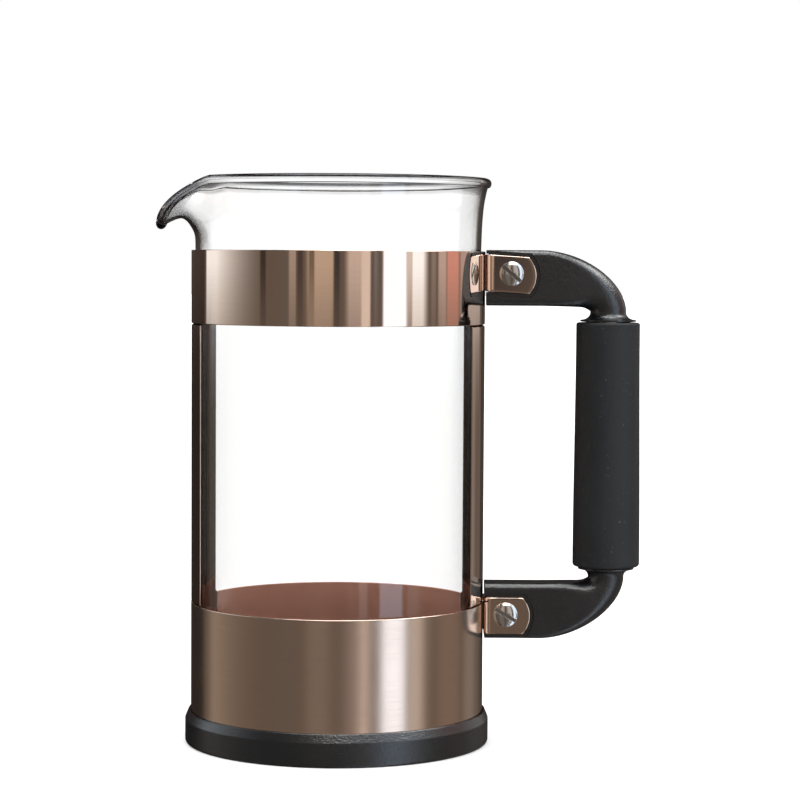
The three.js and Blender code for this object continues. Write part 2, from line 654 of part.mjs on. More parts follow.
// The dome's outside and inside are circular arcs from the flange to the bush.
function makeLid() {
  const sphere = (LID_DOME_R ** 2 + LID_DOME ** 2) / (2 * LID_DOME);
  const height = (r) => LID_DOME - sphere + Math.sqrt(sphere ** 2 - r ** 2);
  const radii = [0.1, 0.35, 0.6, 0.8, 1].map((share) => Math.max(BUSH_R + GAP, share * LID_DOME_R));
  const outside = radii.map((r) => [r, height(r) + LID_WALL]);
  const inside = radii.map((r) => [r, height(r)]);
  addPart('lid_dome', turned([
    ...outside,
    [LID_R - LID_EDGE, 2 * LID_EDGE],
    [LID_R, LID_EDGE],
    [LID_R - LID_EDGE, 0],
    ...inside.reverse(),
  ], RING_SIDES, true), copper, [PLUNGER_X, 0, LID_Z]);

  // the splash guard is a shallow cup, open downwards, that fits inside the beaker's mouth
  const inner = GUARD_R - GUARD_WALL;
  const guard = turned([
    [BUSH_R + GAP, GUARD_TOP],
    [GUARD_R - GUARD_SHOULDER, GUARD_TOP],
    [GUARD_R, GUARD_TOP - GUARD_SHOULDER],
    [GUARD_R, -GUARD_DEPTH],
    [inner, -GUARD_DEPTH],
    [inner, GUARD_TOP - GUARD_SHOULDER - GUARD_WALL / 2],
    [inner - GUARD_SHOULDER + GUARD_WALL / 2, GUARD_TOP - GUARD_WALL],
    [BUSH_R + GAP, GUARD_TOP - GUARD_WALL],
  ], RING_SIDES, true);
  addPart('lid_splash_guard', guard, steel, [PLUNGER_X, 0, LID_Z]);

  // the bush joins the dome to the guard, and the rod slides through it
  const shoulder = height(BUSH_R) + LID_WALL + GAP;
  const bushTop = shoulder + BUSH_HEAD_HEIGHT;
  addPart('lid_bush', turned([
    [PLUNGER_ROD_R + GAP, -BUSH_FOOT],
    [BUSH_R, -BUSH_FOOT],
    [BUSH_R, shoulder],
    [BUSH_HEAD_R, shoulder],
    [BUSH_HEAD_R, bushTop],
    [PLUNGER_ROD_R + GAP, bushTop],
  ], SMALL_SIDES, true), blackPlastic, [PLUNGER_X, 0, LID_Z]);
}

makeBeaker();
makeFrame();
makeFoot();
makeHandle();
makeCrossPlate();
makeMeshFilter();
makeSpiralPlate();
makeEdgeSpring();
makeRodAndKnob();
makeLid();

export default press;
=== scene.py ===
# A one-litre french press in copper and black plastic, with its lid and plunger standing beside it.
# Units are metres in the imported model's frame: +Z up, the handle along +X and the spout along -X.
import json
import math

import bmesh
import bpy
from mathutils import Matrix, Vector


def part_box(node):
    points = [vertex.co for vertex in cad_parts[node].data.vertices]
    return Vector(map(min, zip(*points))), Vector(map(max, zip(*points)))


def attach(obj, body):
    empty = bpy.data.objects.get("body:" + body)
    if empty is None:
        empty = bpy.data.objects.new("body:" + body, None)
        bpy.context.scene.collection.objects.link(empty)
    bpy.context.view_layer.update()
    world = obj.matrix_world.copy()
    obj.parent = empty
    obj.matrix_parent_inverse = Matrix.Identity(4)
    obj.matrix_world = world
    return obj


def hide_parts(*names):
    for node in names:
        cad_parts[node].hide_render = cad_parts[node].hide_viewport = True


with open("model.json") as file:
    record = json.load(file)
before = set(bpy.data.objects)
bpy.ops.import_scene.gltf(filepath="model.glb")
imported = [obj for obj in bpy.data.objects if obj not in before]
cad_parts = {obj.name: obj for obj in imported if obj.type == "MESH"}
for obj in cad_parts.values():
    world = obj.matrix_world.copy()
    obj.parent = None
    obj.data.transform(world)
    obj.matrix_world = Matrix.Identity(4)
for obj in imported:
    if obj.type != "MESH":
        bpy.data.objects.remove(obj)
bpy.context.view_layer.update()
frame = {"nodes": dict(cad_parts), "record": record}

MM = 0.001
GAP = 0.3 * MM  # clearance between neighbouring pieces
RING = 160  # points round a large ring
ROUND = 48  # points round a rod, screw or knob
FULL_TURN = 2 * math.pi

bodies = frame["record"]["behaviour"]["bodies"]
BODY_OF = {node: body for body, nodes in bodies.items() for node in nodes}


def centre_of(node):
    low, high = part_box(node)
    return (low + high) / 2


# ---------------------------------------------------------------- outlines


def arc(across, up, radius, start, end, steps):
    """Points of an arc from one angle to another, in radians, both ends included."""
    angles = [start + (end - start) * i / steps for i in range(steps + 1)]
    return [(across + radius * math.cos(a), up + radius * math.sin(a)) for a in angles]


def rounded(corners, steps=5):
    """An outline through corners, each (across, up) or (across, up, radius), rounded to its radius."""
    points = []
    for i, corner in enumerate(corners):
        here = Vector(corner[:2])
        if len(corner) == 2:
            points.append(tuple(here))
            continue
        before = (Vector(corners[i - 1][:2]) - here).normalized()
        after = (Vector(corners[(i + 1) % len(corners)][:2]) - here).normalized()
        half = before.angle(after) / 2
        middle = here + (before + after).normalized() * corner[2] / math.sin(half)
        spoke = here + before * corner[2] / math.tan(half) - middle
        last = here + after * corner[2] / math.tan(half) - middle
        turn = math.atan2(spoke.x * last.y - spoke.y * last.x, spoke.dot(last))
        for step in range(steps + 1):
            points.append(tuple(middle + Matrix.Rotation(turn * step / steps, 2) @ spoke))
    return points


def along_curve(points, share):
    """The point at a share, 0 to 1, of the smooth curve through points."""
    place = share * (len(points) - 1)
    i = min(int(place), len(points) - 2)
    w = place - i
    a = Vector(points[i])
    b = Vector(points[i + 1])
    leaving = (b - Vector(points[max(i - 1, 0)])) / 2
    arriving = (Vector(points[min(i + 2, len(points) - 1)]) - a) / 2
    return (
        (2 * w**3 - 3 * w**2 + 1) * a
        + (w**3 - 2 * w**2 + w) * leaving
        + (3 * w**2 - 2 * w**3) * b
        + (w**3 - w**2) * arriving
    )


def blend(a, b, share):
    return a + (b - a) * share


def smooth_step(x):
    x = min(1, max(0, x))
    return x * x * (3 - 2 * x)


# ---------------------------------------------------------------- solids


def solid(name, vertices, faces):
    """A closed mesh object with its faces pointing out."""
    mesh = bpy.data.meshes.new(name)
    mesh.from_pydata(vertices, [], faces)
    work = bmesh.new()
    work.from_mesh(mesh)
    bmesh.ops.remove_doubles(work, verts=work.verts, dist=1e-7)
    bmesh.ops.recalc_face_normals(work, faces=work.faces)
    work.to_mesh(mesh)
    work.free()
    obj = bpy.data.objects.new(name, mesh)
    bpy.context.scene.collection.objects.link(obj)
    return obj


def skin(name, loops, ring=False, caps=False):
    """Joins loops of points, one after another. A ring joins the last loop to the first."""
    count = len(loops[0])
    vertices = [point for loop in loops for point in loop]
    faces = []
    for i in range(len(loops) if ring else len(loops) - 1):
        a = i * count
        b = (i + 1) % len(loops) * count
        for k in range(count):
            n = (k + 1) % count
            faces.append((a + k, a + n, b + n, b + k))
    if caps:
        faces.append(tuple(range(count)))
        faces.append(tuple(range(len(vertices) - count, len(vertices))))
    return solid(name, vertices, faces)


def turned(name, profile, sides=RING, ring=False, centre=(0, 0, 0)):
    """Turns a profile of (radius, height) points round the vertical line through centre."""
    x, y, z = centre
    angles = [FULL_TURN * k / sides for k in range(sides)]
    loops = [
        [(x + r * math.cos(a), y + r * math.sin(a), z + h) for a in angles] for r, h in profile
    ]
    return skin(name, loops, ring)


def sheet(name, front, back):
    """A closed solid between two grids of points of the same size."""
    rows = len(front)
    columns = len(front[0])
    size = rows * columns
    vertices = [p for grid in (front, back) for row in grid for p in row]
    border = [(0, j) for j in range(columns)]
    border += [(i, columns - 1) for i in range(1, rows)]
    border += [(rows - 1, j) for j in range(columns - 2, -1, -1)]
    border += [(i, 0) for i in range(rows - 2, 0, -1)]
    faces = []
    for i in range(rows - 1):
        for j in range(columns - 1):
            a = i * columns + j
            quad = (a, a + 1, a + columns + 1, a + columns)
            faces.append(quad)
            faces.append(tuple(size + v for v in reversed(quad)))
    edge = [i * columns + j for i, j in border]
    for a, b in zip(edge, edge[1:] + edge[:1]):
        faces.append((b, a, size + a, size + b))
    return solid(name, vertices, faces)


def extruded(name, outline, low, high):
    """An outline in X and Z, extruded along Y."""
    loops = [[(x, y, z) for x, z in outline] for y in (low, high)]
    return skin(name, loops, caps=True)


def settle(obj):
    """Turns an object's modifiers into its mesh."""
    shape = obj.evaluated_get(bpy.context.evaluated_depsgraph_get())
    mesh = bpy.data.meshes.new_from_object(shape)
    obj.modifiers.clear()
    obj.data = mesh


def cut(obj, *cutters):
    """Cuts the cutters out of an object and removes them."""
    for cutter in cutters:
        modifier = obj.modifiers.new("cut", "BOOLEAN")
        modifier.operation = "DIFFERENCE"
        modifier.solver = "EXACT"
        modifier.object = cutter
        settle(obj)
        bpy.data.objects.remove(cutter)
    return obj


def soften(obj, width, angle=40, segments=2, clamp=True):
    """Rounds the edges that are sharper than an angle in degrees. Unclamped, the rounding keeps its width
    even where the mesh has shorter edges."""
    modifier = obj.modifiers.new("soften", "BEVEL")
    modifier.width = width
    modifier.segments = segments
    modifier.limit_method = "ANGLE"
    modifier.angle_limit = math.radians(angle)
    modifier.use_clamp_overlap = clamp
    settle(obj)
    return obj


def stand_for(obj, node, material, crease=30, even=True):
    """Lets a finished piece stand for a CAD node. Even normals keep flat faces flat beside round edges."""
    obj.data.materials.clear()
    obj.data.materials.append(material)
    obj.data.shade_smooth()
    obj.data.set_sharp_from_angle(angle=math.radians(crease))
    if even:
        modifier = obj.modifiers.new("normals", "WEIGHTED_NORMAL")
        modifier.keep_sharp = True
        settle(obj)
    # the loose lid and plunger stay out of the bands' reflections
    obj.visible_glossy = BODY_OF[node] in ("frame", "beaker")
    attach(obj, BODY_OF[node])
    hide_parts(node)
    return obj


# ---------------------------------------------------------------- material helpers


def add(tree, kind, inputs, **settings):
    """Adds a node. An input is a number, a colour or another node's output."""
    node = tree.nodes.new("ShaderNode" + kind)
    for key, value in settings.items():
        setattr(node, key, value)
    for key, value in inputs.items():
        if isinstance(value, bpy.types.NodeSocket):
            tree.links.new(value, node.inputs[key])
        else:
            node.inputs[key].default_value = value
    return node


def maths(tree, operation, *values, clamp=False):
    node = add(tree, "Math", dict(enumerate(values)), operation=operation, use_clamp=clamp)
    return node.outputs[0]


def mixed(tree, share, a, b):
    """Mixes two colours."""
    return add(tree, "Mix", {0: share, 6: a, 7: b}, data_type="RGBA").outputs[2]


def spread(tree, value, low, high):
    """Maps a value from 0..1 to low..high."""
    return add(tree, "MapRange", {"Value": value, "To Min": low, "To Max": high}).outputs[0]


def noise(tree, vector, scale, detail=2.0, roughness=0.5):
    inputs = {"Vector": vector, "Scale": scale, "Detail": detail, "Roughness": roughness}
    return add(tree, "TexNoise", inputs).outputs["Fac"]


def colour(red, green, blue):
    return (red, green, blue, 1)


def surface(name, **values):
    """A material with plain values on its shader's own sockets. Returns it, its tree and its shader."""
    material = bpy.data.materials.new(name)
    material.use_nodes = True
    tree = material.node_tree
    shader = tree.nodes["Principled BSDF"]
    for key, value in values.items():
        shader.inputs[key.replace("_", " ")].default_value = value
    return material, tree, shader


def place(tree):
    return add(tree, "TexCoord", {}).outputs["Object"]


def distance_from_axis(tree, centre_x):
    split = add(tree, "SeparateXYZ", {0: place(tree)})
    x = maths(tree, "SUBTRACT", split.outputs[0], centre_x)
    squares = maths(tree, "ADD", maths(tree, "POWER", x, 2), maths(tree, "POWER", split.outputs[1], 2))
    return maths(tree, "SQRT", squares)


def round_axis(tree, centre_x, around, upward):
    """Coordinates that run round a vertical axis and up it, stretched by two frequencies per metre."""
    split = add(tree, "SeparateXYZ", {0: place(tree)})
    x = maths(tree, "SUBTRACT", split.outputs[0], centre_x)
    angle = maths(tree, "ARCTAN2", split.outputs[1], x)
    radius = distance_from_axis(tree, centre_x)
    turn = maths(tree, "MULTIPLY", angle, around)
    outward = maths(tree, "MULTIPLY", radius, upward)
    height = maths(tree, "MULTIPLY", split.outputs[2], upward)
    return add(tree, "CombineXYZ", {0: turn, 1: outward, 2: height}).outputs[0]


def bump(tree, shader, height, strength, distance):
    node = add(tree, "Bump", {"Height": height, "Strength": strength, "Distance": distance})
    tree.links.new(node.outputs[0], shader.inputs["Normal"])


# ---------------------------------------------------------------- materials


def copper(name, roughness, hairline, grain, anisotropy, inside=None, mattness=0.0, centre_x=0.0):
    """Copper plate: hairlines that run round the axis, soft smudges and a slightly uneven tint. The insides
    of the bands and straps take a tint of their own with dimmed reflections: near black on the polished
    copper, which is painted shade, and a duller, redder, matte plating on the brushed band."""
    material, tree, shader = surface(name, Metallic=1.0, Anisotropic=anisotropy)
    lines = noise(tree, round_axis(tree, centre_x, 4.0, grain), 1.0, 4.0, 0.7)
    smudges = noise(tree, place(tree), 45.0, 3.0)
    darker = colour(*(0.9 * c for c in COPPER_TINT))
    shade = mixed(tree, smudges, colour(*COPPER_TINT), darker)
    uneven = maths(tree, "ADD", maths(tree, "MULTIPLY", lines, 0.5), maths(tree, "MULTIPLY", smudges, 0.5))
    shine = spread(tree, uneven, 0.6 * roughness, 1.4 * roughness)
    if inside:
        # the inside's own tint and dimmed reflections: painted shade where the tint is near black, a duller
        # plating where it is not
        hidden = maths(tree, "LESS_THAN", distance_from_axis(tree, centre_x), INSIDE_R)
        shade = mixed(tree, hidden, shade, colour(*inside))
        shine = maths(tree, "MULTIPLY_ADD", hidden, 0.15 + 0.3 * mattness, shine)
        metal = maths(tree, "MULTIPLY_ADD", hidden, -mattness, 1.0)
        tree.links.new(metal, shader.inputs["Metallic"])
        rim = mixed(tree, hidden, colour(1, 1, 1), colour(*(0.3 * c for c in inside)))
        tree.links.new(rim, shader.inputs["Specular Tint"])
    streaked = mixed(tree, spread(tree, lines, 0.0, hairline), shade, colour(0.3, 0.2, 0.15))
    tree.links.new(streaked, shader.inputs["Base Color"])
    tree.links.new(shine, shader.inputs["Roughness"])
    tangent = add(tree, "Tangent", {}, direction_type="RADIAL", axis="Z")
    tree.links.new(tangent.outputs[0], shader.inputs["Tangent"])
    bump(tree, shader, lines, hairline, 0.03 * MM)
    return material


def steel(name, roughness, centre_x=0.0):
    """Polished steel with fine turning marks."""
    material, tree, shader = surface(name, Metallic=1.0)
    marks = noise(tree, round_axis(tree, centre_x, 6.0, 2200.0), 1.0, 3.0)
    smudges = noise(tree, place(tree), 90.0, 3.0)
    tint = mixed(tree, smudges, colour(0.62, 0.61, 0.59), colour(0.5, 0.49, 0.47))
    tree.links.new(tint, shader.inputs["Base Color"])
    tree.links.new(spread(tree, marks, 0.6 * roughness, 1.5 * roughness), shader.inputs["Roughness"])
    bump(tree, shader, marks, 0.2, 0.02 * MM)
    return material


def woven_steel(name):
    """Fine woven wire: two crossed sets of wires, with the holes between them painted near black as shade."""
    material, tree, shader = surface(name, Metallic=1.0, Roughness=0.35)
    pitch = 0.45 * MM
    split = add(tree, "SeparateXYZ", {0: place(tree)})
    waves = [
        maths(tree, "SINE", maths(tree, "MULTIPLY", split.outputs[i], FULL_TURN / pitch)) for i in (0, 1)
    ]
    wires = maths(tree, "MAXIMUM", *waves)
    weave = spread(tree, maths(tree, "MULTIPLY_ADD", wires, 0.5, 0.5), 0.0, 1.0)
    # painted shade: the holes between the wires are near black
    tint = mixed(tree, weave, colour(0.06, 0.06, 0.06), colour(0.6, 0.59, 0.57))
    tree.links.new(tint, shader.inputs["Base Color"])
    bump(tree, shader, weave, 0.6, 0.1 * MM)
    return material


def moulded(name, tint, roughness, grain, depth, gloss, flecked=0.0):
    """Black moulded plastic or rubber: fine grain, an uneven sheen and perhaps a few pale flecks."""
    material, tree, shader = surface(name, Specular_IOR_Level=gloss)
    fine = noise(tree, place(tree), grain, 2.0)
    cloudy = noise(tree, place(tree), 60.0, 3.0)
    shade = mixed(tree, cloudy, colour(*tint), colour(*(1.6 * c for c in tint)))
    flecks = noise(tree, place(tree), 1600.0, 0.0)
    fleck = spread(tree, maths(tree, "GREATER_THAN", flecks, 0.83), 0.0, flecked)
    tree.links.new(mixed(tree, fleck, shade, colour(0.35, 0.35, 0.34)), shader.inputs["Base Color"])
    tree.links.new(spread(tree, cloudy, roughness - 0.06, roughness + 0.08), shader.inputs["Roughness"])
    bump(tree, shader, fine, 0.5, depth)
    return material


def clear_glass():
    """Clear borosilicate glass with faint smears. Its colour is painted darker where it is seen edge on, and
    along the top and the bottom of its bead, and its reflections are dimmed there: painted shade for the dark
    room that the glass bends into view."""
    material, tree, shader = surface("clear_glass", Transmission_Weight=1.0, IOR=1.47)
    facing = add(tree, "LayerWeight", {"Blend": 0.5}).outputs["Facing"]
    width = add(tree, "Attribute", {}, attribute_name="painted_shade_width").outputs["Fac"]
    inwards = maths(tree, "DIVIDE", maths(tree, "SUBTRACT", 1.0, facing), width)
    edge = maths(tree, "SQRT", maths(tree, "SUBTRACT", 1.0, inwards, clamp=True))
    bead = add(tree, "Attribute", {}, attribute_name="bead_painted_shade").outputs["Fac"]
    # painted shade: near-black colour and no reflection towards the outline and on the bead's top and bottom
    painted_shade = maths(tree, "MAXIMUM", edge, bead)
    tint = mixed(tree, painted_shade, colour(0.995, 1, 0.998), colour(0.04, 0.04, 0.045))
    tree.links.new(tint, shader.inputs["Base Color"])
    tree.links.new(mixed(tree, painted_shade, colour(1, 1, 1), colour(0, 0, 0)), shader.inputs["Specular Tint"])
    smears = noise(tree, place(tree), 30.0, 4.0)
    tree.links.new(spread(tree, smears, 0.0, 0.015), shader.inputs["Roughness"])
    return material


PLUNGER_X = centre_of("plunger_rod").x
COPPER_TINT = (0.83, 0.655, 0.54)
INSIDE_R = 50.8 * MM  # copper nearer the axis than this is the inside of a band or strap

# its near-black inside tint is painted shade for the inner faces
polished_copper = copper("polished_copper", 0.05, 0.06, 900.0, 0.0, inside=(0.11, 0.085, 0.075))
brushed_copper = copper("brushed_copper", 0.17, 0.22, 2600.0, 0.6, (1.0, 0.47, 0.34), 0.9)
lid_copper = copper("lid_copper", 0.07, 0.06, 900.0, 0.0, centre_x=PLUNGER_X)
screw_steel = steel("screw_steel", 0.12)
plunger_steel = steel("plunger_steel", 0.16, PLUNGER_X)
filter_weave = woven_steel("filter_weave")
satin_black = moulded("satin_black", (0.0034, 0.0046, 0.0056), 0.24, 1500.0, 0.25 * MM, 0.8)
rubber_black = moulded("rubber_black", (0.0064, 0.008, 0.0092), 0.6, 1400.0, 0.15 * MM, 0.35, 0.12)
knob_black = moulded("knob_black", (0.008, 0.008, 0.009), 0.3, 1500.0, 0.02 * MM, 0.5)
glass = clear_glass()

# ---------------------------------------------------------------- beaker

# The middle line of the glass wall, from where it starts to open out up to the rim, as (radius, height).
# The plain wall opens gently. At the spout it bends over a hump and droops to a lip.
GLASS_WALL = 1.5 * MM
GLASS_FLOOR = 3 * MM
GLASS_CORNER = 7 * MM
GLASS_R = 49.5 * MM
RIM_BEAD = 1.75 * MM
PLAIN_WALL = [(48.75, 165), (48.95, 172), (49.25, 181), (49.95, 188.5), (51.4, 195.2)]
SPOUT_WALL = [(48.75, 165), (49.05, 170.5), (49.75, 178), (54.5, 183.4), (62, 180.6)]
BEAD_SWEEP = 2.2  # radians from the tip of the bead round to where it joins the wall
GLASS_SIDES = 224
SPOUT_HALF_ANGLE = math.radians(34)
SPOUT_POINT_ROUNDING = 0.08
SPOUT_CROWDING = 0.55  # how strongly the sides crowd towards the spout

# The share of the way to edge on over which the glass is painted darker as painted shade, on the wall, at the
# spout and on the bead.
WALL_EDGE = 0.16
SPOUT_EDGE = 0.5
BEAD_EDGE = 0.7
SPOUT_EDGE_RISE = 6 * MM  # height over which the wall's darkening changes to the spout's
BEAD_EDGE_REACH = 4 * MM  # distance from the bead over which its darkening changes to the wall's
# how far from the bead its painted shade reaches
BEAD_SHADE_REACH = 0.3 * MM

# The bead's painted dark top and paler painted dark bottom, by height above its middle in bead radii.
TOP_DROP = 0.6  # how far below the middle the top starts at the spout
TOP_FADE = 0.45
BOTTOM_START = 0.55
BOTTOM_FADE = 0.3
BOTTOM_SHADE = 0.7


def spout_weights(angle):
    """How far the wall has moved out and down towards the spout, 0 to 1, at an angle from it."""
    t = min(1, abs(angle) / SPOUT_HALF_ANGLE)
    eased = math.hypot(t, SPOUT_POINT_ROUNDING) - SPOUT_POINT_ROUNDING
    return (1 - t * t) ** 3, (1 - eased) ** 2 if t < 1 else 0


def glass_section(angle):
    """The closed section of the glass at an angle from the spout, from the axis back to the axis."""
    out, down = spout_weights(angle)
    middle = [
        (blend(plain[0], spout[0], out) * MM, blend(plain[1], spout[1], down) * MM)
        for plain, spout in zip(PLAIN_WALL, SPOUT_WALL)
    ]
    steps = 24
    outside = []
    inside = []
    for i in range(1, steps):
        here = along_curve(middle, i / steps)
        ahead = along_curve(middle, (i + 0.5) / steps)
        behind = along_curve(middle, (i - 0.5) / steps)
        heading = (ahead - behind).normalized()
        side = Vector((heading.y, -heading.x)) * GLASS_WALL / 2
        outside.append(tuple(here + side))
        inside.append(tuple(here - side))
    end = Vector(middle[-1])
    heading = end - along_curve(middle, 1 - 0.5 / steps)
    angle_up = math.atan2(heading.y, heading.x)
    bead = arc(end.x, end.y, RIM_BEAD, angle_up - BEAD_SWEEP, angle_up + BEAD_SWEEP, 14)
    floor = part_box("glass_beaker")[0].z
    centre = GLASS_R - GLASS_CORNER
    inner = GLASS_CORNER - GLASS_WALL
    start = PLAIN_WALL[0][1] * MM
    return (
        [(0, floor), (centre / 2, floor)]
        + arc(centre, floor + GLASS_CORNER, GLASS_CORNER, -math.pi / 2, 0, 8)
        + [(GLASS_R, floor + share * start) for share in (0.3, 0.6)]
        + [(GLASS_R, start)]
        + outside
        + bead
        + inside[::-1]
        + [(GLASS_R - GLASS_WALL, start)]
        + [(GLASS_R - GLASS_WALL, floor + share * start) for share in (0.6, 0.3)]
        + arc(centre, floor + GLASS_FLOOR + inner, inner, 0, -math.pi / 2, 8)
        + [(centre / 2, floor + GLASS_FLOOR), (0, floor + GLASS_FLOOR)]
    )


def outline_of(point):
    """How wide the glass's painted shade reaches in from its outline at a point, and how dark the bead is
    painted there.
    """
    out, down = spout_weights(math.atan2(-point.y, -point.x))
    rim_r = blend(PLAIN_WALL[-1][0], SPOUT_WALL[-1][0], out) * MM
    rim_z = blend(PLAIN_WALL[-1][1], SPOUT_WALL[-1][1], down) * MM
    from_bead = math.hypot(math.hypot(point.x, point.y) - rim_r, point.z - rim_z) - RIM_BEAD
    risen = smooth_step((point.z - SPOUT_WALL[1][1] * MM) / SPOUT_EDGE_RISE)
    wall = blend(WALL_EDGE, SPOUT_EDGE, out * risen)
    width = blend(BEAD_EDGE, wall, smooth_step(from_bead / BEAD_EDGE_REACH))
    on_bead = 1 - smooth_step(from_bead / BEAD_SHADE_REACH)
    height = (point.z - rim_z) / RIM_BEAD
    top = smooth_step((height + TOP_DROP * out) / TOP_FADE)
    bottom = BOTTOM_SHADE * smooth_step((-height - BOTTOM_START) / BOTTOM_FADE)
    return width, on_bead * max(top, bottom)


def make_beaker():
    columns = []
    for k in range(GLASS_SIDES):
        even = FULL_TURN * k / GLASS_SIDES - math.pi
        angle = even - SPOUT_CROWDING * math.sin(even) * math.cos(even / 2) ** 2
        columns.append([(-r * math.cos(angle), -r * math.sin(angle), z) for r, z in glass_section(angle)])
    loops = [list(loop) for loop in zip(*columns)]
    beaker = skin("beaker_glass", loops)
    # each point keeps how wide the painted shade reaches and how dark its bead is painted
    for name in ("painted_shade_width", "bead_painted_shade"):
        beaker.data.attributes.new(name, "FLOAT", "POINT")
    widths = beaker.data.attributes["painted_shade_width"].data
    shades = beaker.data.attributes["bead_painted_shade"].data
    for vertex, width, shade in zip(beaker.data.vertices, widths, shades):
        width.value, shade.value = outline_of(vertex.co)
    stand_for(beaker, "glass_beaker", glass, even=False)


# ---------------------------------------------------------------- frame and foot

BAND_WALL = 0.6 * MM
STRAP_HALF_ANGLE = math.radians(24.5)
STRAP_WALL = 0.5 * MM
STRAP_FACE = 51.15 * MM
TAB_R = 50.3 * MM
TAB_ROW = 0.2 * MM  # a row of points this far behind a band's edge keeps a strap's tab straight
STRAP_STEP = 0.8 * MM  # height of the step that brings a strap flush with the bands


def make_band(node, material):
    """A hoop of sheet with round edges."""
    low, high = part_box(node)
    inner = high.x - BAND_WALL
    edge = 0.24 * MM
    profile = rounded([
        (inner, low.z, edge),
        (high.x, low.z, edge),
        (high.x, high.z, edge),
        (inner, high.z, edge),
    ])
    stand_for(turned(node + "_hoop", profile, ring=True), node, material, crease=60)


def make_strap(node, azimuth):
    """A curved strip that is flush with the bands and steps inwards to pass behind them."""
    low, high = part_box(node)
    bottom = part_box("lower_band")[1].z
    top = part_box("upper_band")[0].z
    heights = [low.z, bottom - TAB_ROW]
    heights += [bottom + STRAP_STEP * i / 6 for i in range(7)]
    heights += [blend(bottom, top, share / 12) for share in range(1, 12)]
    heights += [top - STRAP_STEP * i / 6 for i in range(6, -1, -1)]
    heights += [top + TAB_ROW, high.z]
    columns = 24
    front = []
    back = []
    for z in heights:
        flush = smooth_step((z - bottom) / STRAP_STEP) * smooth_step((top - z) / STRAP_STEP)
        radius = blend(TAB_R, STRAP_FACE, flush)
        angles = [azimuth + STRAP_HALF_ANGLE * (2 * k / columns - 1) for k in range(columns + 1)]
        front.append([(radius * math.cos(a), radius * math.sin(a), z) for a in angles])
        back.append([
            ((radius - STRAP_WALL) * math.cos(a), (radius - STRAP_WALL) * math.sin(a), z) for a in angles
        ])
    strap = soften(sheet(node + "_strip", front, back), 0.14 * MM, 60)
    stand_for(strap, node, polished_copper)


def make_foot():
    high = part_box("foot")[1]
    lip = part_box("lower_band")[1].x + GAP
    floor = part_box("lower_band")[0].z - GAP
    profile = rounded([
        (0, 0.4 * MM),
        (high.x - 6 * MM, 0.4 * MM),
        (high.x - 6.6 * MM, 0, 0.3 * MM),
        (high.x, 0, 1 * MM),
        (high.x, high.z - 2.9 * MM, 1 * MM),
        (lip + 0.5 * MM, high.z, 0.35 * MM),
        (lip, high.z, 0.15 * MM),
        (lip, floor),
        (0, floor),
    ])
    stand_for(turned("foot_cup", profile), "foot", satin_black)


# ---------------------------------------------------------------- handle

PLATE = 1 * MM
EAR_Y = 7.2 * MM
EAR_HALF_HEIGHT = 6.4 * MM
EAR_END_R = 9.4 * MM
EAR_BEND = 1.9 * MM
BRACKET_R = 52.0 * MM
HANDLE_Z = centre_of("handle_grip").z
GRIP_X = centre_of("handle_grip").x
ARM_START = 51.65 * MM
ARM_OUTER = 67.7 * MM
ARM_INNER = 48.4 * MM
ARM_HALF_THICKNESS = 7 * MM
NECK_R = 6.3 * MM
NECK_Z = 46.6 * MM
COLLAR_R = 9.8 * MM
FLARE_HEIGHT = 2.5 * MM
SOCKET_R = 4.3 * MM  # the hole for the tie rod, in the arms and through the grip
SOCKET_END = 52.3 * MM  # where the socket ends, from the middle of the handle
SCREW_HOLE_R = 2.3 * MM
RECESS_DEPTH = 5.9 * MM  # distance of the recesses' floors from the middle plane of the arm
RECESS_MARGIN = 1.4 * MM  # how far a recess reaches past the outline of its ear
UPPER = {"z": 163.8 * MM, "ear_end": 68.8 * MM, "tilt": math.radians(3.5), "slot": -40}
LOWER = {"z": 44.9 * MM, "ear_end": 67.5 * MM, "tilt": 0.0, "slot": -30}


def screw_place(prefix):
    place = centre_of(prefix + "_handle_nut")
    return place.x, place.z


def screw_hole(prefix):
    """A cutter for the cross hole through the ears and the arm."""
    reach = 20 * MM
    profile = [(0, -reach), (SCREW_HOLE_R, -reach), (SCREW_HOLE_R, reach), (0, reach)]
    hole = turned("hole", profile, ROUND)
    x, z = screw_place(prefix)
    hole.data.transform(Matrix.Translation((x, 0, z)) @ Matrix.Rotation(math.pi / 2, 4, "X"))
    return hole


def ear_outline(bracket, start, margin=0.0):
    """The D-shaped outline of an ear, from (start) to its round end, grown by a margin."""
    half = EAR_HALF_HEIGHT + margin
    radius = EAR_END_R + margin
    swing = math.asin(half / radius)
    centre = bracket["ear_end"] + margin - radius
    end = arc(centre, bracket["z"], radius, -swing, swing, 12)
    return [(start, bracket["z"] - half)] + end + [(start, bracket["z"] + half)]


def tilted(points, bracket, screw_x):
    """Drops the points along the arm by the bracket's tilt, about its screw."""
    slope = math.tan(bracket["tilt"])
    return [(x, y, z - (x - screw_x) * slope) for x, y, z in points]


def bracket_line(half_base):
    """Half of the bracket's middle line seen from above: along the band and round the bend."""
    ear_y = EAR_Y - PLATE / 2
    swing = half_base / BRACKET_R
    line = [(BRACKET_R * math.cos(swing * i / 4), BRACKET_R * math.sin(swing * i / 4)) for i in range(5)]
    x, y = line[-1]
    bend = ear_y - y
    line += [(x + bend * (1 - math.cos(a)), y + bend * math.sin(a))
             for a in (math.pi / 2 * i / 6 for i in range(1, 7))]
    return line


